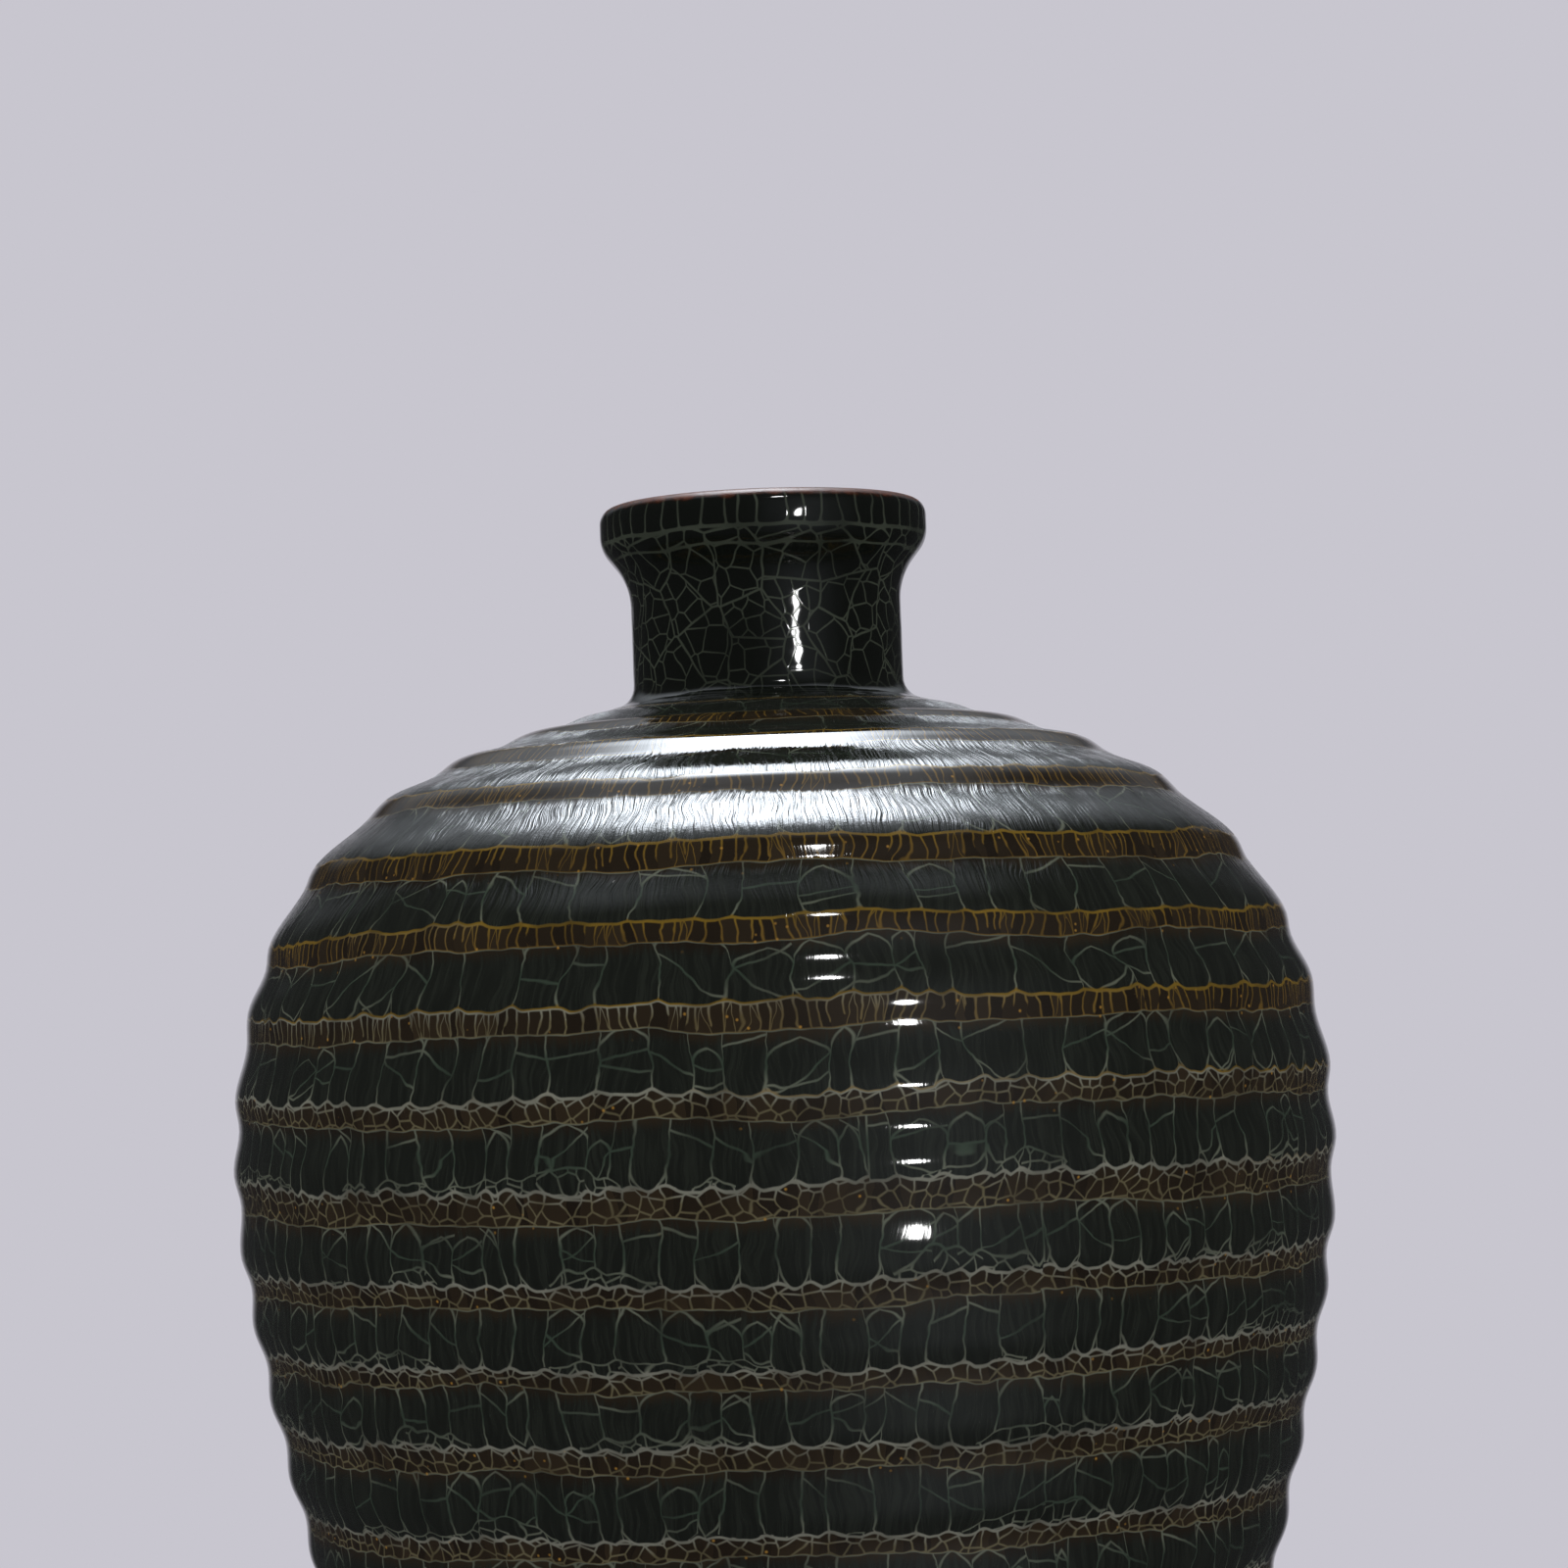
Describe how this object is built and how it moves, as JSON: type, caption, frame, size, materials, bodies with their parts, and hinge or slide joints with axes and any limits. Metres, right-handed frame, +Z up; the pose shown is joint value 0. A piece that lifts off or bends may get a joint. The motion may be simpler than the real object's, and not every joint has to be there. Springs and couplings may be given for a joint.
{
  "type": "plum vase",
  "caption": "Plum vase with a small neck, rolled lip, broad shoulder, tapering body and throwing rings, in dark crackle glaze",
  "frame": {"origin": "centre of the foot, on the table that the foot ring stands on", "axes": "+Z up along the vase's axis of revolution, from foot to mouth; X and Y level, the vase is round so both are alike; the camera of the picture looks along +Y"},
  "size_m": [0.2, 0.2, 0.325],
  "materials": {
    "crackle_glaze": "gloss"
  },
  "bodies": {
    "root": {"vase": "crackle_glaze"}
  },
  "joints": []
}
